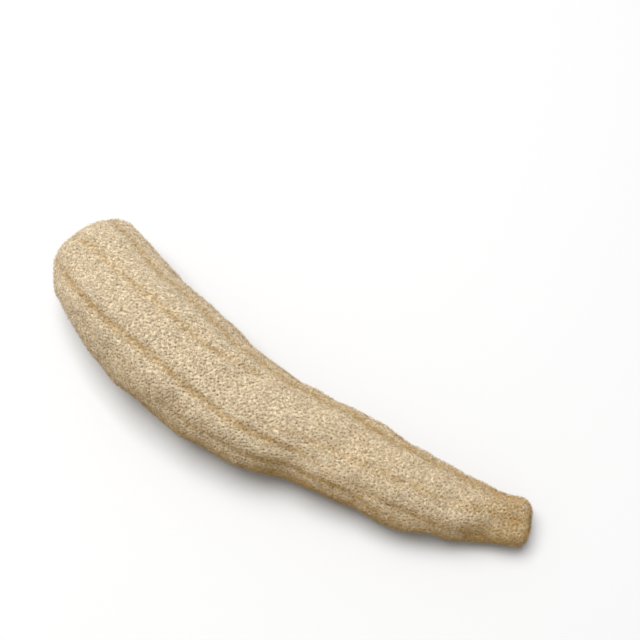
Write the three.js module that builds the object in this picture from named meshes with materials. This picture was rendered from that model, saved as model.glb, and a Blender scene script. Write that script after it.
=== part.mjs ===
// A natural loofah sponge: the dried fibre skeleton of a long gourd, in one grown piece. It lies on its
// side, curved like a banana, wide and blunt at the blossom end (low X), narrower where the stem was cut
// off (high X). Long furrows part its ribs, and a raised net of fibres covers all of it.

import * as THREE from 'three';

// Driving dimensions, in millimetres. Each station is a point of the middle line, seen from above, and
// half the sponge's width there.
const STATIONS = [
  [5, 2, 40.5],
  [38, -10, 44],
  [76, -26.5, 48],
  [114, -37.5, 49.5],
  [160, -45, 48],
  [206, -46, 43.5],
  [252, -40.5, 39],
  [300, -33, 35],
  [346, -27.5, 32],
  [392, -16.5, 25],
  [438, 0, 18],
];
const HEIGHT_PER_WIDTH = 0.88;
const PRESSED_FLAT = 2.5;

// How each end closes: the length that its rounding takes, and how blunt it is (2 is round, more is
// squarer).
const BLOSSOM_END = { length: 30, bluntness: 3.4, rings: 10 };
const STEM_END = { length: 10, bluntness: 2.4, rings: 7 };

// Furrows, as shares of the length, with their direction round the middle line in degrees at even steps
// from their one end to the other: 0 is the hollow side of the curve, 90 the top and 180 the bulging side.
const FURROWS = [
  { from: 0.0, to: 0.5, angles: [97, 85, 79, 75, 60], depth: 3.0, width: 9 },
  { from: 0.03, to: 0.68, angles: [142, 129, 120.5, 116, 121.5, 124, 125], depth: 4.2, width: 9 },
  { from: 0.13, to: 0.38, angles: [151, 144, 139], depth: 1.8, width: 8 },
  { from: 0.36, to: 0.74, angles: [150, 150, 150, 149, 158], depth: 4.2, width: 8 },
  { from: 0.7, to: 0.9, angles: [141, 148, 162], depth: 3.6, width: 7 },
  { from: 0.5, to: 1.0, angles: [108, 103, 100], depth: 1.4, width: 9 },
  { from: 0.0, to: 0.9, angles: [48, 42, 46], depth: 2.2, width: 10 },
  { from: 0.0, to: 1.0, angles: [8, 11, 6], depth: 4.0, width: 9 },
  { from: 0.0, to: 0.8, angles: [338, 333, 336], depth: 4.4, width: 10 },
  { from: 0.1, to: 1.0, angles: [294, 291, 288], depth: 4.2, width: 9 },
  { from: 0.0, to: 1.0, angles: [228, 224, 226], depth: 4.6, width: 10 },
];

// Places where the bulging side swells (+) or draws in (-): the share of the length, how far, and over
// how long a share. They fade out round the sponge to both sides of one direction.
const FLANK = { angle: 185, spread: 32 };
const FLANK_SWELLINGS = [
  { at: 0.33, rise: -2.4, reach: 0.08 },
  { at: 0.505, rise: 3.0, reach: 0.035 },
  { at: 0.59, rise: -4.4, reach: 0.04 },
  { at: 0.775, rise: 3.2, reach: 0.035 },
  { at: 0.862, rise: 3.0, reach: 0.022 },
  { at: 0.94, rise: -3.0, reach: 0.03 },
];

// Low swellings of the flesh, as waves along and round the sponge.
const SWELLINGS = [
  { rise: 0.8, along: 3.2, round: 2, turn: 0.4 },
  { rise: 0.7, along: 5.6, round: 3, turn: 2.1 },
  { rise: 0.5, along: 9.3, round: 4, turn: 4.0 },
  { rise: 0.4, along: 14.7, round: 1, turn: 5.2 },
];

// The three seed canals that open in the cut end.
const CANALS = { count: 3, fromMiddle: 8.4, radius: 4.6, depth: 7, firstAngle: 90 };
const BLOSSOM_SCAR = { radius: 7, depth: 3 };

// The fibre net: strands slant both ways over a grid of vertices and every other vertex is a pit. Here
// and there a crossing is missing, which joins four pits. Near the poles, where the grid is tight, the
// net is lower.
const BODY_RINGS = 88;
const AROUND = 54;
const STRAND_RISE = 1.0;
const STRAND_UNEVENNESS = 0.35;
const PIT_DEPTH = 1.2;
const MISSING_CROSSINGS = 0.1;
const STRAND_WANDER = 1.6;
const FULLY_NETTED_RADIUS = 24;
const SEED = 7;

const FIBRE = new THREE.MeshStandardMaterial({ color: 0xd8bf94, roughness: 0.95, metalness: 0 });

const middleLine = new THREE.CatmullRomCurve3(
  STATIONS.map(([x, y, halfWidth]) => new THREE.Vector3(x, y, halfWidth)),
);
const length = middleLine.getLength();

function halfWidthAt(along) {
  return middleLine.getPointAt(THREE.MathUtils.clamp(along / length, 0, 1)).z;
}

function columnAngle(column) {
  return (column / AROUND) * 2 * Math.PI;
}

// A number from 0 to 1 that is always the same for the same pair of whole numbers.
function scatter(i, j) {
  const wave = Math.sin(i * 127.1 + j * 311.7 + SEED * 74.7) * 43758.5453;
  return wave - Math.floor(wave);
}

// The rings from end to end: how far along each lies, and how much of the full width it has.
function ringList() {
  const rings = [];
  for (let k = 1; k <= BLOSSOM_END.rings; k++) {
    rings.push(endRing(BLOSSOM_END, k, (away) => away));
  }
  const start = BLOSSOM_END.length;
  const stretch = length - BLOSSOM_END.length - STEM_END.length;
  for (let k = 1; k < BODY_RINGS; k++) {
    rings.push({ along: start + (stretch * k) / BODY_RINGS, fullness: 1 });
  }
  for (let k = STEM_END.rings; k >= 1; k--) {
    rings.push(endRing(STEM_END, k, (away) => length - away));
  }
  return rings;
}

// One ring of a rounded end, the k-th from its tip.
function endRing(end, k, place) {
  const turn = ((k / end.rings) * Math.PI) / 2;
  const power = 2 / end.bluntness;
  const away = end.length * (1 - Math.cos(turn) ** power);
  return { along: place(away), fullness: Math.sin(turn) ** power };
}

// A turn brought to between half a turn back and half a turn on.
function wrapped(turn) {
  return Math.atan2(Math.sin(turn), Math.cos(turn));
}

// The smooth course of each furrow's direction.
const furrowCourses = FURROWS.map(({ angles }) => {
  const points = angles.map((angle) => new THREE.Vector3(THREE.MathUtils.degToRad(angle), 0, 0));
  return new THREE.CatmullRomCurve3(points, false, 'catmullrom', 0.5);
});

// How deep all furrows together cut the surface, with a soft start and end to each.
function furrowDepth(share, angle, radius) {
  const fade = 0.08;
  let depth = 0;
  FURROWS.forEach((furrow, k) => {
    const inFrom = THREE.MathUtils.smoothstep(share, furrow.from - fade, furrow.from + fade);
    const outTo = 1 - THREE.MathUtils.smoothstep(share, furrow.to - fade, furrow.to + fade);
    const t = THREE.MathUtils.clamp((share - furrow.from) / (furrow.to - furrow.from), 0, 1);
    const sideways = wrapped(angle - furrowCourses[k].getPoint(t).x) * radius;
    depth += furrow.depth * inFrom * outTo * Math.exp(-((sideways / furrow.width) ** 2) * 2);
  });
  return depth;
}

function swelling(share, angle) {
  let rise = 0;
  for (const wave of SWELLINGS) {
    rise += wave.rise * Math.sin(wave.along * 2 * Math.PI * share + wave.round * angle + wave.turn);
  }
  const aside = wrapped(angle - THREE.MathUtils.degToRad(FLANK.angle));
  const sideways = aside / THREE.MathUtils.degToRad(FLANK.spread);
  for (const { at: place, rise: height, reach } of FLANK_SWELLINGS) {
    rise += height * Math.exp(-(((share - place) / reach) ** 2) - sideways ** 2);
  }
  return rise;
}

// A point of the sponge's flesh, without its net. Directions are measured round the middle line.
function fleshPoint({ along, fullness }, angle) {
  const share = THREE.MathUtils.clamp(along / length, 0, 1);
  const middle = middleLine.getPointAt(share);
  const heading = middleLine.getTangentAt(share);
  const aside = new THREE.Vector3(-heading.y, heading.x, 0).normalize();
  const halfWidth = middle.z;
  const halfHeight = halfWidth * HEIGHT_PER_WIDTH;
  const relief = fullness * (swelling(share, angle) - furrowDepth(share, angle, halfWidth));
  const out = Math.cos(angle) * (halfWidth * fullness + relief);
  const up = Math.sin(angle) * (halfHeight * fullness + relief);
  const point = new THREE.Vector3(middle.x, middle.y, halfHeight - PRESSED_FLAT + up);
  return point.addScaledVector(aside, out);
}

// The index of a grid vertex; the two poles come after the grid.
function at(ring, column) {
  return ring * AROUND + ((column + AROUND) % AROUND);
}

// Whether a grid vertex is a crossing of two strands; the others are pits.
function isCrossing(ring, column) {
  return (ring + column) % 2 === 0;
}

// Each square of the grid is split along the strand that runs across it.
function triangles(ringCount) {
  const faces = [];
  for (let i = 0; i < ringCount - 1; i++) {
    for (let j = 0; j < AROUND; j++) {
      const [a, b, c, d] = [at(i, j), at(i + 1, j), at(i + 1, j + 1), at(i, j + 1)];
      if (isCrossing(i, j)) {
        faces.push(a, c, b, a, d, c);
      } else {
        faces.push(a, d, b, b, d, c);
      }
    }
  }
  const blossomPole = ringCount * AROUND;
  const stemPole = blossomPole + 1;
  for (let j = 0; j < AROUND; j++) {
    faces.push(blossomPole, at(0, j + 1), at(0, j));
    faces.push(stemPole, at(ringCount - 1, j), at(ringCount - 1, j + 1));
  }
  return faces;
}

// The flesh as a closed surface of rings and two poles. The grid wanders in uneven waves along and round
// the sponge, and the strands with it.
function fleshSurface(rings) {
  const places = [];
  rings.forEach((ring, i) => {
    const wander = ring.fullness === 1 ? STRAND_WANDER : 0;
    for (let j = 0; j < AROUND; j++) {
      const angle = columnAngle(j);
      const shift = wander * Math.sin(5 * angle + 0.83 * i) * Math.cos(3 * angle - 0.37 * i);
      const slip = wander * Math.sin(4 * angle - 0.71 * i) * Math.cos(2 * angle + 0.29 * i);
      const moved = { along: ring.along + shift, fullness: ring.fullness };
      places.push(...fleshPoint(moved, angle + slip / halfWidthAt(ring.along)));
    }
  });
  places.push(...fleshPoint({ along: 0, fullness: 0 }, 0));
  places.push(...fleshPoint({ along: length, fullness: 0 }, 0));
  const surface = new THREE.BufferGeometry();
  surface.setAttribute('position', new THREE.Float32BufferAttribute(places, 3));
  surface.setIndex(triangles(rings.length));
  surface.computeVertexNormals();
  return surface;
}

// How far the net stands above (+) or below (-) the flesh at a grid vertex.
function netHeight(ring, column, radius) {
  const size = Math.min(1, radius / FULLY_NETTED_RADIUS) ** 2;
  const raised = isCrossing(ring, column) && scatter(ring, column) > MISSING_CROSSINGS;
  const uneven = STRAND_UNEVENNESS * (2 * scatter(column, ring) - 1);
  return size * ((raised ? STRAND_RISE : -PIT_DEPTH) + uneven);
}

// A smooth round hollow: its depth at a distance from its middle.
function hollow(distance, radius, depth) {
  return depth * (1 - THREE.MathUtils.smoothstep(distance, 0.45 * radius, 1.25 * radius));
}

// How deep the scar at the blossom tip and the canals at the stem end are at a vertex of an end.
function endHollow(ring, angle, radius) {
  if (ring.along < BLOSSOM_END.length) {
    return hollow(radius, BLOSSOM_SCAR.radius, BLOSSOM_SCAR.depth);
  }
  if (ring.along < length - STEM_END.length) {
    return 0;
  }
  let depth = 0;
  for (let k = 0; k < CANALS.count; k++) {
    const direction = THREE.MathUtils.degToRad(CANALS.firstAngle) + (k / CANALS.count) * 2 * Math.PI;
    const x = radius * Math.cos(angle) - CANALS.fromMiddle * Math.cos(direction);
    const y = radius * Math.sin(angle) - CANALS.fromMiddle * Math.sin(direction);
    depth = Math.max(depth, hollow(Math.hypot(x, y), CANALS.radius, CANALS.depth));
  }
  return depth;
}

// Raises the net from the flesh, sinks the hollows of the ends, and presses the underside flat.
function sponge() {
  const tips = [{ along: 0, fullness: 0 }, { along: length, fullness: 0 }];
  const rings = ringList();
  const surface = fleshSurface(rings);
  const position = surface.getAttribute('position');
  const normal = surface.getAttribute('normal');
  for (let v = 0; v < position.count; v++) {
    const i = Math.floor(v / AROUND);
    const j = v % AROUND;
    const ring = i < rings.length ? rings[i] : tips[j];
    const radius = halfWidthAt(ring.along) * ring.fullness;
    const height = netHeight(i, j, radius) - endHollow(ring, columnAngle(j), radius);
    const point = new THREE.Vector3().fromBufferAttribute(position, v);
    point.addScaledVector(new THREE.Vector3().fromBufferAttribute(normal, v), height);
    position.setXYZ(v, point.x, point.y, Math.max(0, point.z));
  }
  surface.computeBoundingBox();
  const centre = surface.boundingBox.getCenter(new THREE.Vector3());
  surface.translate(-centre.x, -centre.y, 0);
  surface.computeVertexNormals();
  return surface;
}

const loofah = new THREE.Group();
const fibreBody = new THREE.Mesh(sponge(), FIBRE);
fibreBody.name = 'loofah_fibre_body';
loofah.add(fibreBody);

export default loofah;
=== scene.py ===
# A natural loofah sponge: the dried fibre skeleton of a long gourd, lying on its side. A mat of fine
# fibre holds the form, with its ribs, furrows and pits, and tens of thousands of strands cross on it.

import math
import random
from itertools import product

import bpy
import numpy as np
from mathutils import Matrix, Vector
from mathutils.bvhtree import BVHTree
from mathutils.kdtree import KDTree


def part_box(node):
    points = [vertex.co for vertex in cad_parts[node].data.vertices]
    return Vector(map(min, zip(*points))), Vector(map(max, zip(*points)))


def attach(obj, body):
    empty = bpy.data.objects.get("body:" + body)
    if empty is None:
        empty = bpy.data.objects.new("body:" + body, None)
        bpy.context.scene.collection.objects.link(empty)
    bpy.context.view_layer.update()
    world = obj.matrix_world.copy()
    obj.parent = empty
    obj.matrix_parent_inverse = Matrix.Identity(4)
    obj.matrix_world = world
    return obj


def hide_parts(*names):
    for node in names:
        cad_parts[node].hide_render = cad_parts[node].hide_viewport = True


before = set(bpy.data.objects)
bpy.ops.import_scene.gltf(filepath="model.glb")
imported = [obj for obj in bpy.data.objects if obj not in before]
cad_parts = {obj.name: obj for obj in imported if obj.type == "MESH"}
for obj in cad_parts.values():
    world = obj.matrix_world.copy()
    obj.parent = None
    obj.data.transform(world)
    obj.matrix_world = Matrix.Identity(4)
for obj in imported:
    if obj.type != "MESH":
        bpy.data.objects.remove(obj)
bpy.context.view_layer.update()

MM = 0.001
NODE = "loofah_fibre_body"

# The form: points of the middle line seen from above, as x and y, and half the width there, in mm. Its
# height is a share of its width, and its underside is pressed flat by so much.
STATIONS = [
    (5, 2, 40.5),
    (38, -10, 44),
    (76, -26.5, 48),
    (114, -37.5, 49.5),
    (160, -45, 48),
    (206, -46, 43.5),
    (252, -40.5, 39),
    (300, -33, 35),
    (346, -27.5, 32),
    (392, -16.5, 25),
    (438, 0, 18),
]
HEIGHT_PER_WIDTH = 0.88
PRESSED_FLAT = 2.5 * MM

# How each end closes: the length that its rounding takes, and how blunt it is. 2 is round, more is blunter.
BLOSSOM_END = {"length": 30 * MM, "bluntness": 3.4}
STEM_END = {"length": 10 * MM, "bluntness": 2.4}

# Furrows: where each begins and ends as shares of the length, its directions round the middle line in
# degrees at even steps between, and its depth and width in mm. 0 degrees is the hollow side of the
# curve, 90 the top and 180 the bulging side. A furrow fades over a share of the length at its ends.
FURROWS = [
    (0.0, 0.5, (103, 86, 76.5, 72, 58), 1.6, 9),
    (0.03, 0.6, (144, 132, 122.5, 116, 120, 125, 127), 2.1, 9),
    (0.13, 0.38, (151, 144, 139), 0.8, 8),
    (0.36, 0.74, (152, 153, 157, 152, 160), 1.35, 8),
    (0.7, 0.9, (138, 145, 159), 1.4, 7),
    (0.5, 1.0, (108, 103, 100), 1.2, 9),
    (0.0, 0.9, (48, 42, 46), 1.8, 10),
    (0.0, 1.0, (8, 11, 6), 3.0, 9),
    (0.0, 0.8, (338, 333, 336), 3.4, 10),
    (0.1, 1.0, (294, 291, 288), 3.2, 9),
    (0.0, 1.0, (228, 224, 226), 3.4, 10),
]
FURROW_FADE = 0.08

# A furrow is a soft valley with a fine crease in its middle: the share of the depth and of the width.
VALLEY = (0.8, 1.0)
CREASE = (0.15, 0.38)

# Where the fibre is painted browner, by stain and by painted shade. A furrow's crease is browned, partly as
# stain and partly as painted shade, over a share of its width, more the deeper it is, and all the way from
# the full depth on, in mm. The sides get painted shade where the skin faces less upwards than the level,
# and less so towards the blossom end. Other places are shares of the length.
FURROW_STAIN_AND_SHADE = {"full_depth": 3.0, "power": 1.5, "width": 0.48}
SCAR_STAIN = 0.7
PAINTED_SIDE_SHADE = {"amount": 0.9, "level": 0.86, "at_blossom": 0.25, "full_from": 0.5}
STEM_TONES = [
    {"amount": 0.14, "from": 0.45, "to": 0.75},
    {"amount": 0.42, "from": 0.86, "to": 0.97},
]

# Swellings of the flesh: rise in mm, waves along, waves round, and turn.
SWELLINGS = [(0.8, 3.2, 2, 0.4), (0.7, 5.6, 3, 2.1), (0.5, 9.3, 4, 4.0), (0.4, 14.7, 1, 5.2)]

# Where the bulging side swells or draws in: share of the length, rise in mm, and reach as a share.
FLANK_ANGLE = math.radians(185)
FLANK_SPREAD = math.radians(32)
FLANK_SWELLINGS = [
    (0.02, -3.2, 0.05),
    (0.33, -2.4, 0.08),
    (0.505, 3.0, 0.035),
    (0.59, -4.4, 0.04),
    (0.775, 3.2, 0.035),
    (0.862, 3.0, 0.022),
    (0.94, -3.0, 0.03),
]

# Hollows in the ends, and where the wall of one begins and ends as shares of its radius.
CANALS = {"count": 3, "from_middle": 8.4 * MM, "radius": 4.6 * MM, "depth": 12 * MM}
BLOSSOM_SCAR = {"radius": 7 * MM, "depth": 3 * MM}
HOLLOW_WALL = (0.6, 1.15)

# The mat: its grid, how far it lies under the flesh's skin, and how far it stays above the floor.
MAT_COLUMNS = 224
MAT_RINGS = 420
MAT_SINK = 1.4 * MM
MAT_LIFT = 0.4 * MM

# The mat's pits: each takes a random share of the depth, and its bottom is flat over a share of the
# radius. Strands keep the clearance from a pit's middle, but for a point that touches it.
PIT_SPACING = 2.6 * MM
PIT_DEPTH = 1.6 * MM
PIT_DEPTH_SHARES = (0.5, 1.0)
PIT_RADIUS = 1.1 * MM
PIT_BOTTOM = 0.15
PIT_CLEARANCE = 0.9 * MM
PIT_SEED = 5
TOUCHING = 1e-6

# Where strands begin: the least way between two, as a share of even spacing, and how far each is off.
START_SPACING = 0.78
START_JITTER = 0.6 * MM

# The kinds of strands, with at most so many each. A strand has its points at even steps. It starts off
# straight round the sponge but for a slant with the spread, and turns at each step by its bend and its
# wave, all in radians. Its height over the skin swings, both its tips dip and the last one rises.
# Lengths are in mm.
STRANDS = {
    "lower_net": dict(
        seed=1, count=6600, points=7, step=1.2, spread=1.3, bend=0.3, wave=0.9,
        height=(-1.1, -0.6), swing=0.3, dip=0.3, tip_rise=0, thick=(0.32, 0.46),
    ),
    "upper_net": dict(
        seed=2, count=8250, points=6, step=1.05, spread=1.1, bend=0.35, wave=1.0,
        height=(-0.8, -0.2), swing=0.35, dip=0.6, tip_rise=0, thick=(0.26, 0.4),
    ),
    "ringing_strands": dict(
        seed=3, count=11000, points=5, step=0.95, spread=0.9, bend=0.4, wave=1.1,
        height=(-0.6, 0.0), swing=0.3, dip=0.8, tip_rise=0, thick=(0.26, 0.38),
    ),
    "loose_fuzz": dict(
        seed=4, count=16000, points=4, step=1.1, spread=1.3, bend=0.4, wave=0.5,
        height=(-1.0, -0.6), swing=0.1, dip=0, tip_rise=1.8, thick=(0.2, 0.3),
    ),
}
STRAND_SIDES = 3

# The margin that a strand has in its cell of the flat layout for baking, as a share of the cell.
CELL_MARGIN = 0.1

# How strands of one kind differ: the size and rate of the wave, the rate and start of the swing, and
# the power that leaves most of them pale.
WAVE_SIZES = (0.5, 1.5)
WAVE_RATES = (0.8, 1.7)
SWING_RATES = (0.9, 1.8)
SWING_STARTS = (0, 6.3)
TINT_POWER = 2
WALK_SEED = 11

# The skin is an end face where its normal turns from the sponge's heading by a smaller sine than this.
END_FACE = 0.35

# Colours: pale strands, the mat under them, fibre stained and painted with shade, flecks on strands, and
# painted shade in the pits and net meshes.
CREAM = (0.90, 0.82, 0.67, 1)
STRAW = (0.73, 0.57, 0.36, 1)
MAT_STRAW = (0.84, 0.71, 0.50, 1)
OCHRE = (0.62, 0.42, 0.175, 1)
DEEP_OCHRE = (0.43, 0.265, 0.095, 1)
FLECK_BROWN = (0.38, 0.25, 0.11, 1)
PAINTED_PIT_SHADE = (0.26, 0.155, 0.055, 1)
FLOOR_WHITE = (0.67, 0.67, 0.67, 1)

# Patterns in the finishes: how fine each is, and the factor and plus that set its contrast. The stain
# and painted shade are at their least between the patches, and stronger by the gain in them.
PATCHES = {"fineness": 130, "detail": 2.0, "factor": 2.4, "plus": -0.55, "gain": 0.9, "least": 0.55}
FLECKS = {"fineness": 1400, "detail": 1.0, "factor": 7.0, "plus": -3.6}
MAT_NET = {"fineness": 1050, "factor": 3.4, "plus": -0.45}
MAT_BUMP = {"factor": 3.0, "height": 0.5 * MM, "strength": 0.8}
ROUGHNESS = {"mat": 0.95, "strand": 0.8, "floor": 0.9}
GLOSS = 0.2

# The camera looks at a point of the floor from the photographed side. The light stands above, tilted
# away from the camera and to its left.
CAMERA_TARGET = Vector((-0.0166, 0.0921, 0))
CAMERA_AZIMUTH = math.radians(33)
CAMERA_ELEVATION = math.radians(65)
CAMERA_DISTANCE = 0.935
CAMERA_LENS = 61.9
FLOOR_SIZE = 6
KEY_LIGHT = {"away": 0.2, "left": 0.2, "distance": 3.0, "size": 2.05, "power": 113}
WORLD_STRENGTH = 0.44

rng = random.Random(WALK_SEED)


# The form of the flesh

def sums(steps):
    """The sum of the steps up to each place between them, from 0 on."""
    return np.concatenate([[0], np.cumsum(steps)])


def middle_line(per_span=60):
    """A smooth line of x, y and half width through the stations, and the way run to each point of it."""
    p = np.array(STATIONS, float) * MM
    p = np.vstack([2 * p[0] - p[1], p, 2 * p[-1] - p[-2]])
    t = np.linspace(0, 1, per_span, endpoint=False)[:, None]
    line = []
    for a, b, c, d in zip(p, p[1:], p[2:], p[3:]):
        u, v, w = (np.linalg.norm(q) ** 0.5 for q in (b - a, c - b, d - c))
        start = ((b - a) / u - (c - a) / (u + v) + (c - b) / v) * v
        end = ((c - b) / v - (d - b) / (v + w) + (d - c) / w) * v
        squared = 3 * (c - b) - 2 * start - end
        cubed = 2 * (b - c) + start + end
        line.append(b + start * t + squared * t**2 + cubed * t**3)
    line = np.vstack(line + [p[-2:-1]])
    return line, sums(np.linalg.norm(np.diff(line, axis=0), axis=1))


LINE, RUN = middle_line()
LENGTH = RUN[-1]
HEADING = np.gradient(LINE[:, :2], RUN, axis=0)
HEADING /= np.linalg.norm(HEADING, axis=1)[:, None]


def on_line(values, along):
    """The middle line's values at ways along it."""
    return np.interp(along, RUN, values)


def meridian(steps=400):
    """The half outline from pole to pole: distance walked, place along the middle line and fullness."""
    turn = np.linspace(0, math.pi / 2, steps)
    near, far = 2 / BLOSSOM_END["bluntness"], 2 / STEM_END["bluntness"]
    blossom = BLOSSOM_END["length"] * (1 - np.cos(turn) ** near)
    stem = LENGTH - STEM_END["length"] * (1 - np.cos(turn) ** far)
    body = np.linspace(BLOSSOM_END["length"], LENGTH - STEM_END["length"], steps)[1:-1]
    along = np.concatenate([blossom, body, stem[::-1]])
    fullness = np.concatenate([np.sin(turn) ** near, np.ones(len(body)), (np.sin(turn) ** far)[::-1]])
    radius = on_line(LINE[:, 2], along) * fullness
    walked = sums(np.hypot(np.diff(along), np.diff(radius)))
    return walked, along, fullness


def smoothstep(x, low, high):
    t = np.clip((x - low) / (high - low), 0, 1)
    return t * t * (3 - 2 * t)


def bell(x):
    return np.exp(-2 * x**2)


def wrapped(turn):
    return np.arctan2(np.sin(turn), np.cos(turn))


def smooth_course(values, t):
    """The values at even steps joined by a smooth curve."""
    v = np.array([2 * values[0] - values[1], *values, 2 * values[-1] - values[-2]], float)
    place = np.clip(t, 0, 1) * (len(values) - 1)
    i = np.minimum(place.astype(int), len(values) - 2)
    f = place - i
    a, b, c, d = v[i], v[i + 1], v[i + 2], v[i + 3]
    bend = (a - 2.5 * b + 2 * c - 0.5 * d) * f**2 + (-0.5 * a + 1.5 * b - 1.5 * c + 0.5 * d) * f**3
    return b + 0.5 * (c - a) * f + bend


def furrows(share, angle, radius):
    """How deep all furrows together cut the flesh, and how brown their creases are, partly as stain and
    partly as painted shade.
    """
    depth = np.zeros_like(share)
    stain_and_shade = np.zeros_like(share)
    for start, end, angles, deep, wide in FURROWS:
        course = np.radians(smooth_course(angles, (share - start) / (end - start)))
        sideways = wrapped(angle - course) * radius / (wide * MM)
        fade = smoothstep(share, start - FURROW_FADE, start + FURROW_FADE)
        fade *= 1 - smoothstep(share, end - FURROW_FADE, end + FURROW_FADE)
        for part, narrow in (VALLEY, CREASE):
            depth += part * deep * MM * fade * bell(sideways / narrow)
        # A furrow's crease is browned, partly as stain and partly as painted shade.
        browned_and_shaded = (deep / FURROW_STAIN_AND_SHADE["full_depth"]) ** FURROW_STAIN_AND_SHADE["power"]
        stain_and_shade += browned_and_shaded * fade * bell(sideways / FURROW_STAIN_AND_SHADE["width"])
    return depth, stain_and_shade


def swelling(share, angle):
    """How far the flesh swells, all round and on the bulging side."""
    rise = np.zeros_like(share)
    for height, waves, waves_round, turn in SWELLINGS:
        rise += height * MM * np.sin(waves * 2 * math.pi * share + waves_round * angle + turn)
    sideways = wrapped(angle - FLANK_ANGLE) / FLANK_SPREAD
    for place, height, reach in FLANK_SWELLINGS:
        rise += height * MM * np.exp(-(((share - place) / reach) ** 2) - sideways**2)
    return rise


def hollow(distance, size):
    """How deep a round hollow is at a distance from its middle."""
    inner, outer = (share * size["radius"] for share in HOLLOW_WALL)
    return size["depth"] * (1 - smoothstep(distance, inner, outer))


def canals(along, radius, angle):
    """How deep the seed canals sink into the cut end."""
    depth = np.zeros_like(radius)
    for k in range(CANALS["count"]):
        direction = math.pi / 2 + 2 * math.pi * k / CANALS["count"]
        x = radius * np.cos(angle) - CANALS["from_middle"] * math.cos(direction)
        y = radius * np.sin(angle) - CANALS["from_middle"] * math.sin(direction)
        depth = np.maximum(depth, hollow(np.hypot(x, y), CANALS))
    return depth * (along > LENGTH - STEM_END["length"])


def flesh(along, fullness, angle):
    """Points of the flesh, how brown they are as stain and painted shade, and their shares of the length.
    """
    share = along / LENGTH
    half_width = on_line(LINE[:, 2], along)
    half_height = half_width * HEIGHT_PER_WIDTH
    heading_x, heading_y = (on_line(HEADING[:, axis], along) for axis in (0, 1))
    depth, stain_and_shade = furrows(share, angle, half_width)
    relief = fullness * (swelling(share, angle) - depth)
    out = np.cos(angle) * (half_width * fullness + relief)
    up = np.sin(angle) * (half_height * fullness + relief)
    blossom = hollow(half_width * fullness, BLOSSOM_SCAR) * (along < BLOSSOM_END["length"])
    inward = blossom - canals(along, half_width * fullness, angle)
    x = on_line(LINE[:, 0], along) - heading_y * out + heading_x * inward
    y = on_line(LINE[:, 1], along) + heading_x * out + heading_y * inward
    z = half_height - PRESSED_FLAT + up
    stain_and_shade = fullness * stain_and_shade + SCAR_STAIN * blossom / BLOSSOM_SCAR["depth"]
    # Darker and browner towards the stem end.
    for tone in STEM_TONES:
        stain_and_shade += tone["amount"] * smoothstep(share, tone["from"], tone["to"])
    return np.stack([x, y, z], 1), stain_and_shade, share


# The mat

def flat(values, kind=np.float32):
    """The values in one row, as Blender takes them."""
    return values.astype(kind).ravel()


def vectors(values, name):
    """The named vector of each of the values, as rows."""
    found = np.empty(len(values) * 3, np.float32)
    values.foreach_get(name, found)
    return found.reshape(-1, 3).astype(float)


def deselect():
    bpy.ops.object.select_all(action="DESELECT")


def flesh_sphere():
    """A sphere laid out as the flesh, with its points, stain and painted shade, and shares, and x along the
    middle line.
    """
    deselect()
    bpy.ops.mesh.primitive_uv_sphere_add(segments=MAT_COLUMNS, ring_count=MAT_RINGS)
    ball = bpy.context.object
    at = vectors(ball.data.vertices, "co")
    walked, along, fullness = meridian()
    place = np.arccos(np.clip(-at[:, 2] / np.linalg.norm(at, axis=1), -1, 1)) / math.pi * walked[-1]
    angle = np.arctan2(at[:, 1], at[:, 0])
    points, stain_and_shade, share = flesh(np.interp(place, walked, along), np.interp(place, walked, fullness), angle)
    low, high = (np.array(corner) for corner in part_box(NODE))
    shift = ((low + high) / 2 - (points.min(0) + points.max(0)) / 2)[:2]
    points[:, :2] += shift
    ball.data.vertices.foreach_set("co", flat(points))
    ball.data.update()
    return ball, points, stain_and_shade, share, LINE[:, 0] + shift[0]


def face_outwards(piece):
    deselect()
    piece.select_set(True)
    bpy.context.view_layer.objects.active = piece
    bpy.ops.object.mode_set(mode="EDIT")
    bpy.ops.mesh.select_all(action="SELECT")
    bpy.ops.mesh.normals_make_consistent(inside=False)
    bpy.ops.object.mode_set(mode="OBJECT")
    bpy.ops.object.shade_smooth()


def paint(mesh, pit, gold, tint):
    """Writes each vertex's share of pit, gold and tint for the materials to read."""
    tone = mesh.attributes.new("tone", "FLOAT_COLOR", "POINT")
    tone.data.foreach_set("color", flat(np.stack([pit, gold, tint, np.ones(len(pit))], 1)))


def spaced_out(points, spacing, draws):
    """A random choice of points. Each keeps the spacing from the last one chosen in every cell nearby."""
    cells = {}
    chosen = []
    for k in draws.permutation(len(points)):
        x, y, z = (points[k] // spacing).astype(int)
        near = (cells.get((x + i, y + j, z + h)) for i, j, h in product((-1, 0, 1), repeat=3))
        if all(other is None or np.sum((points[k] - points[other]) ** 2) > spacing**2 for other in near):
            cells[x, y, z] = k
            chosen.append(k)
    return chosen


def tree_of(points):
    tree = KDTree(len(points))
    for k, point in enumerate(points):
        tree.insert(point, k)
    tree.balance()
    return tree


def pits_among(points):
    """The pits' middles, and how deep in a pit each point lies, from 0 to 1."""
    draws = np.random.default_rng(PIT_SEED)
    middles = tree_of(points[spaced_out(points, PIT_SPACING, draws)])
    deep = draws.uniform(*PIT_DEPTH_SHARES, len(points))
    pit = np.empty(len(points))
    for k, point in enumerate(points):
        _, nearest, distance = middles.find(point)
        pit[k] = deep[nearest] * (1 - smoothstep(distance, PIT_BOTTOM * PIT_RADIUS, PIT_RADIUS))
    return middles, pit


def painted_side_shade(outward, share):
    """How much shade is painted on the sides, darker where the skin faces less upwards, by the skin's
    normals and shares of the length.
    """
    steep = np.clip(PAINTED_SIDE_SHADE["level"] - outward[:, 2], 0, 1)
    grown = smoothstep(share, 0, PAINTED_SIDE_SHADE["full_from"])
    steep *= PAINTED_SIDE_SHADE["at_blossom"] + (1 - PAINTED_SIDE_SHADE["at_blossom"]) * grown
    return PAINTED_SIDE_SHADE["amount"] * steep


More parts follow.
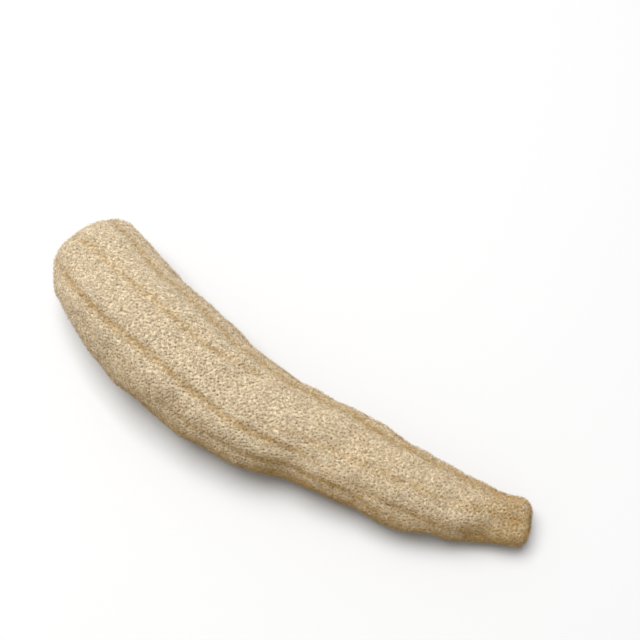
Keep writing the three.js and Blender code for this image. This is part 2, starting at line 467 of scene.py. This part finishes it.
def fibre_mat():
    """The closed mat, and the ground that strands are laid on."""
    mat, points, stain_and_shade, share, line_x = flesh_sphere()
    mat.name = mat.data.name = "fibre_mat"
    mat.data.uv_layers[0].name = "OFBake"
    face_outwards(mat)
    outward = vectors(mat.data.vertex_normals, "vector")
    # The sides get painted shade where they face down, added to the stain.
    stain_and_shade = np.clip(stain_and_shade + painted_side_shade(outward, share), 0, 1)
    skin = BVHTree.FromPolygons(points.tolist(), [tuple(p.vertices) for p in mat.data.polygons])
    first_corners = [p.vertices[0] for p in mat.data.polygons]
    pits, pit = pits_among(points)
    sunk = points - outward * (MAT_SINK + PIT_DEPTH * pit)[:, None]
    sunk[:, 2] = np.maximum(sunk[:, 2], MAT_LIFT)
    mat.data.vertices.foreach_set("co", flat(sunk))
    mat.data.update()
    paint(mat.data, pit, stain_and_shade, np.zeros(len(points)))
    ground = {
        "skin": skin,
        "points": points,
        "area": sum(p.area for p in mat.data.polygons),
        "pits": pits,
        "stain_and_shade_of_face": stain_and_shade[first_corners],
        "line_x": line_x,
    }
    return mat, ground


# The strands

def starts(ground, count, draws):
    """Random places on the skin, at most so many, spread evenly over its area."""
    points = ground["points"]
    spacing = START_SPACING * math.sqrt(ground["area"] / count)
    chosen = draws.permutation(spaced_out(points, spacing, draws))[:count]
    return points[chosen] + draws.uniform(-START_JITTER, START_JITTER, (len(chosen), 3))


def first_direction(ground, point, normal, slant):
    """A way along the skin, at the slant from straight round the sponge, or any way on an end face."""
    heading = (float(np.interp(point.x, ground["line_x"], HEADING[:, axis])) for axis in (0, 1))
    across = normal.cross(Vector((*heading, 0)))
    if across.length < END_FACE:
        across = normal.orthogonal()
        slant = rng.uniform(0, 2 * math.pi)
    across.normalize()
    onward = across * math.cos(slant) + normal.cross(across) * math.sin(slant)
    return onward * rng.choice((-1, 1))


def step_aside(point, pits):
    """The point, moved out of a pit if it is in one and not at its very middle."""
    pit, _, distance = pits.find(point)
    if TOUCHING < distance < PIT_CLEARANCE:
        point = pit + (point - pit) * (PIT_CLEARANCE / distance)
    return point


def walk(ground, start, kind):
    """A strand's way over the skin: points, normals and the faces passed."""
    skin, pits = ground["skin"], ground["pits"]
    point, normal, face, _ = skin.find_nearest(start)
    onward = first_direction(ground, point, normal, rng.gauss(0, kind["spread"]))
    bend = rng.gauss(0, kind["bend"])
    wave = rng.uniform(*WAVE_SIZES) * kind["wave"]
    phase = rng.uniform(0, 2 * math.pi)
    rate = rng.uniform(*WAVE_RATES)
    way = []
    for k in range(kind["points"]):
        way.append((step_aside(point, pits), normal, face))
        turn = bend + wave * math.cos(rate * k + phase)
        onward = onward - normal * onward.dot(normal)
        onward.normalize()
        onward = onward * math.cos(turn) + normal.cross(onward) * math.sin(turn)
        point, normal, face, _ = skin.find_nearest(point + onward * (kind["step"] * MM))
    return way


def height_over_skin(kind, count, draws):
    """How high each strand's points lie over the skin."""
    last = kind["points"] - 1
    step = np.arange(kind["points"])[None, :]
    base = draws.uniform(*kind["height"], (count, 1)) * MM
    rate = draws.uniform(*SWING_RATES, (count, 1))
    begin = draws.uniform(*SWING_STARTS, (count, 1))
    swing = kind["swing"] * MM * np.sin(rate * step + begin)
    dip = kind["dip"] * MM * (1 - np.sin(math.pi * step / last) ** 0.5)
    return base + swing - dip + kind["tip_rise"] * MM * (step / last) ** 2


def strand_field(ground, kind):
    """The middle lines, skin normals, radii, stain and painted shade, and tint of all strands of one kind.
    """
    draws = np.random.default_rng(kind["seed"])
    begun = starts(ground, kind["count"], draws)
    count, points = len(begun), kind["points"]
    place = np.empty((count, points, 3))
    outward = np.empty((count, points, 3))
    stained_and_shaded = np.empty((count, points))
    for i, start in enumerate(begun):
        for k, (point, normal, face) in enumerate(walk(ground, Vector(start), kind)):
            place[i, k], outward[i, k] = point, normal
            stained_and_shaded[i, k] = ground["stain_and_shade_of_face"][face]
    place += outward * height_over_skin(kind, count, draws)[:, :, None]
    radius = draws.uniform(*kind["thick"], (count, 1)) * MM / 2 * np.ones((1, points))
    low, high = (np.array(corner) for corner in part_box(NODE))
    place = np.clip(place, low + radius[:, :, None], high - radius[:, :, None])
    tint = draws.uniform(0, 1, count) ** TINT_POWER
    return place, outward, radius, stained_and_shaded, tint


def strand_faces(points):
    """Faces of one strand: its pointed tips are its first and last vertex, with rings between them."""
    rings = points - 2
    tip = 1 + STRAND_SIDES * rings
    faces = []
    for side in range(STRAND_SIDES):
        after = (side + 1) % STRAND_SIDES
        faces.append((0, 1 + side, 1 + after))
        for ring in range(rings - 1):
            low = 1 + STRAND_SIDES * ring
            high = low + STRAND_SIDES
            faces.append((low + side, high + side, high + after, low + after))
        last = 1 + STRAND_SIDES * (rings - 1)
        faces.append((last + side, tip, last + after))
    return faces


def strand_cells(count, points, pattern):
    """A flat layout for baking: each strand has a cell of its own, with its sides as strips in it."""
    across = math.ceil(math.sqrt(count))
    tip = 1 + STRAND_SIDES * (points - 2)
    local = []
    for side, faces in enumerate(np.array_split(np.arange(len(pattern)), STRAND_SIDES)):
        after = (side + 1) % STRAND_SIDES
        for face in faces:
            for v in pattern[face]:
                if v in (0, tip):
                    local.append((float(v == tip), side + 0.5))
                else:
                    ring, edge = divmod(v - 1, STRAND_SIDES)
                    local.append(((ring + 1) / (points - 1), side + float(edge == after)))
    local = np.array(local) * (1, 1 / STRAND_SIDES) * (1 - 2 * CELL_MARGIN) + CELL_MARGIN
    strand = np.arange(count)
    corner = np.stack([strand % across, strand // across], 1)
    return ((corner[:, None, :] + local[None]) / across).reshape(-1, 2)


def strand_vertices(place, outward, radius):
    """Each strand's vertices: a tip, the rings round its middle line, and the other tip."""
    ahead = np.gradient(place, axis=1)
    ahead /= np.linalg.norm(ahead, axis=2)[:, :, None]
    side = np.cross(ahead, outward)
    side /= np.linalg.norm(side, axis=2)[:, :, None]
    up = np.cross(side, ahead)
    turns = np.radians(90 + 360 / STRAND_SIDES * np.arange(STRAND_SIDES))
    ring = (
        place[:, :, None]
        + radius[:, :, None, None] * np.cos(turns)[None, None, :, None] * side[:, :, None]
        + radius[:, :, None, None] * np.sin(turns)[None, None, :, None] * up[:, :, None]
    )
    inner = ring[:, 1:-1].reshape(len(place), -1, 3)
    return np.concatenate([place[:, :1], inner, place[:, -1:]], 1)


def repeated_mesh(name, verts, pattern):
    """One mesh in which every row of vertices has the pattern's faces."""
    rows, each = verts.shape[:2]
    row = np.arange(rows)[:, None]
    sizes = [len(face) for face in pattern]
    corners = np.array([v for face in pattern for v in face])
    mesh = bpy.data.meshes.new(name)
    mesh.vertices.add(rows * each)
    mesh.vertices.foreach_set("co", flat(verts))
    mesh.loops.add(rows * len(corners))
    mesh.loops.foreach_set("vertex_index", flat(corners + each * row, np.int32))
    mesh.polygons.add(rows * len(pattern))
    mesh.polygons.foreach_set("loop_start", flat(sums(sizes)[:-1] + len(corners) * row, np.int32))
    mesh.update(calc_edges=True)
    return mesh


def strand_piece(name, field):
    """One piece of closed strands along the field's middle lines."""
    place, outward, radius, stained_and_shaded, tint = field
    count, points = radius.shape
    verts = strand_vertices(place, outward, radius)
    each = verts.shape[1]
    pattern = strand_faces(points)
    mesh = repeated_mesh(name, verts, pattern)
    cells = mesh.uv_layers.new(name="OFBake")
    cells.uv.foreach_set("vector", flat(strand_cells(count, points, pattern)))
    point_of = np.concatenate([[0], np.repeat(np.arange(1, points - 1), STRAND_SIDES), [points - 1]])
    paint(mesh, np.zeros(count * each), stained_and_shaded[:, point_of].ravel(), np.repeat(tint, each))
    mesh.shade_smooth()
    piece = bpy.data.objects.new(name, mesh)
    bpy.context.scene.collection.objects.link(piece)
    return piece


# Finishes

def new_material(name, roughness):
    material = bpy.data.materials.new(name)
    material.use_nodes = True
    shader = material.node_tree.nodes["Principled BSDF"]
    shader.inputs["Roughness"].default_value = roughness
    shader.inputs["Specular IOR Level"].default_value = GLOSS
    return material, material.node_tree, shader


def tone_nodes(tree):
    """The pit, gold and tint that each vertex carries."""
    tone = tree.nodes.new("ShaderNodeAttribute")
    tone.attribute_name = "tone"
    split = tree.nodes.new("ShaderNodeSeparateColor")
    tree.links.new(tone.outputs["Color"], split.inputs["Color"])
    return split.outputs


def mix(tree, amount, first, second):
    """A mix of two colours, any of the three a value or a socket."""
    node = tree.nodes.new("ShaderNodeMix")
    node.data_type = "RGBA"
    for socket, value in ((node.inputs[0], amount), (node.inputs[6], first), (node.inputs[7], second)):
        if isinstance(value, bpy.types.NodeSocket):
            tree.links.new(value, socket)
        else:
            socket.default_value = value
    return node.outputs[2]


def scaled(tree, value, factor, plus=0.0, clamp=True):
    """The value times the factor, with the plus added, and kept between 0 and 1 if clamped."""
    node = tree.nodes.new("ShaderNodeMath")
    node.operation = "MULTIPLY_ADD"
    node.use_clamp = clamp
    tree.links.new(value, node.inputs[0])
    node.inputs[1].default_value = factor
    node.inputs[2].default_value = plus
    return node.outputs[0]


def object_place(tree):
    return tree.nodes.new("ShaderNodeTexCoord").outputs["Object"]


def fine_noise(tree, pattern):
    """The pattern's patches, with its contrast."""
    grain = tree.nodes.new("ShaderNodeTexNoise")
    grain.inputs["Scale"].default_value = pattern["fineness"]
    grain.inputs["Detail"].default_value = pattern["detail"]
    tree.links.new(object_place(tree), grain.inputs["Vector"])
    return scaled(tree, grain.outputs["Fac"], pattern["factor"], pattern["plus"])


def fine_net(tree, fineness):
    """0 on the threads of a fine uneven net and more in its meshes."""
    net = tree.nodes.new("ShaderNodeTexVoronoi")
    net.feature = "DISTANCE_TO_EDGE"
    net.inputs["Scale"].default_value = fineness
    tree.links.new(object_place(tree), net.inputs["Vector"])
    return net.outputs["Distance"]


def broken(tree, gold):
    """The stain and painted shade, stronger and weaker in patches."""
    node = tree.nodes.new("ShaderNodeMath")
    node.operation = "MULTIPLY"
    node.use_clamp = True
    strength = scaled(tree, fine_noise(tree, PATCHES), PATCHES["gain"], PATCHES["least"], clamp=False)
    tree.links.new(gold, node.inputs[0])
    tree.links.new(strength, node.inputs[1])
    return node.outputs[0]


def mat_finish():
    """Straw threads, ochre where stained and where shade is painted, with painted shade in the brown meshes
    and pits.
    """
    material, tree, shader = new_material("matted_fibre", ROUGHNESS["mat"])
    pit, gold, _ = tone_nodes(tree)
    threads = mix(tree, broken(tree, gold), MAT_STRAW, OCHRE)
    meshes = fine_net(tree, MAT_NET["fineness"])
    # The net's meshes and the pits are painted dark brown as shade in the depths.
    netted = mix(tree, scaled(tree, meshes, MAT_NET["factor"], MAT_NET["plus"]), threads, PAINTED_PIT_SHADE)
    tree.links.new(mix(tree, pit, netted, PAINTED_PIT_SHADE), shader.inputs["Base Color"])
    bump = tree.nodes.new("ShaderNodeBump")
    bump.invert = True
    bump.inputs["Distance"].default_value = MAT_BUMP["height"]
    bump.inputs["Strength"].default_value = MAT_BUMP["strength"]
    tree.links.new(scaled(tree, meshes, MAT_BUMP["factor"]), bump.inputs["Height"])
    tree.links.new(bump.outputs["Normal"], shader.inputs["Normal"])
    return material


def strand_finish():
    """Cream to straw strands, ochre where stained and where shade is painted, with fine brown flecks."""
    material, tree, shader = new_material("dry_strand", ROUGHNESS["strand"])
    _, gold, tint = tone_nodes(tree)
    plain = mix(tree, tint, CREAM, STRAW)
    browned_and_shaded = mix(tree, tint, OCHRE, DEEP_OCHRE)
    stained_and_shaded = mix(tree, broken(tree, gold), plain, browned_and_shaded)
    flecked = mix(tree, fine_noise(tree, FLECKS), stained_and_shaded, FLECK_BROWN)
    tree.links.new(flecked, shader.inputs["Base Color"])
    return material


# Floor, light and camera

def floor():
    deselect()
    bpy.ops.mesh.primitive_plane_add(size=FLOOR_SIZE, location=(0, 0, 0))
    sheet = bpy.context.object
    sheet.name = "floor"
    material, _, shader = new_material("white_floor", ROUGHNESS["floor"])
    shader.inputs["Base Color"].default_value = FLOOR_WHITE
    sheet.data.materials.append(material)


def camera_axes():
    """The camera's right, the floor's way from it, and the way back to it."""
    a, e = CAMERA_AZIMUTH, CAMERA_ELEVATION
    back = Vector((math.sin(a) * math.cos(e), -math.cos(a) * math.cos(e), math.sin(e)))
    return Vector((math.cos(a), math.sin(a), 0)), Vector((-math.sin(a), math.cos(a), 0)), back


def camera():
    _, _, back = camera_axes()
    data = bpy.data.cameras.new("camera")
    data.lens = CAMERA_LENS
    eye = bpy.data.objects.new("camera", data)
    eye.location = CAMERA_TARGET + back * CAMERA_DISTANCE
    eye.rotation_euler = back.to_track_quat("Z", "Y").to_euler()
    bpy.context.scene.collection.objects.link(eye)
    bpy.context.scene.camera = eye


def key_light():
    """One large soft light, turned towards the middle of the floor."""
    right, away, _ = camera_axes()
    direction = Vector((0, 0, 1)) + KEY_LIGHT["away"] * away - KEY_LIGHT["left"] * right
    direction.normalize()
    data = bpy.data.lights.new("key", "AREA")
    data.size = KEY_LIGHT["size"]
    data.energy = KEY_LIGHT["power"]
    lamp = bpy.data.objects.new("key", data)
    lamp.location = direction * KEY_LIGHT["distance"]
    lamp.rotation_euler = direction.to_track_quat("Z", "Y").to_euler()
    bpy.context.scene.collection.objects.link(lamp)


def studio():
    """An even white light from all round."""
    world = bpy.data.worlds.new("studio")
    world.use_nodes = True
    background = world.node_tree.nodes["Background"]
    background.inputs["Color"].default_value = (1, 1, 1, 1)
    background.inputs["Strength"].default_value = WORLD_STRENGTH
    bpy.context.scene.world = world


def carry(piece, material):
    """Gives a piece its finish, and puts it in the place of the plain solid."""
    piece.data.materials.clear()
    piece.data.materials.append(material)
    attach(piece, "root")
    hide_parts(NODE)


bpy.context.scene.view_settings.view_transform = "Standard"
camera()
key_light()
studio()
floor()

mat, ground = fibre_mat()
carry(mat, mat_finish())
dry_strand = strand_finish()
for name, kind in STRANDS.items():
    carry(strand_piece(name, strand_field(ground, kind)), dry_strand)
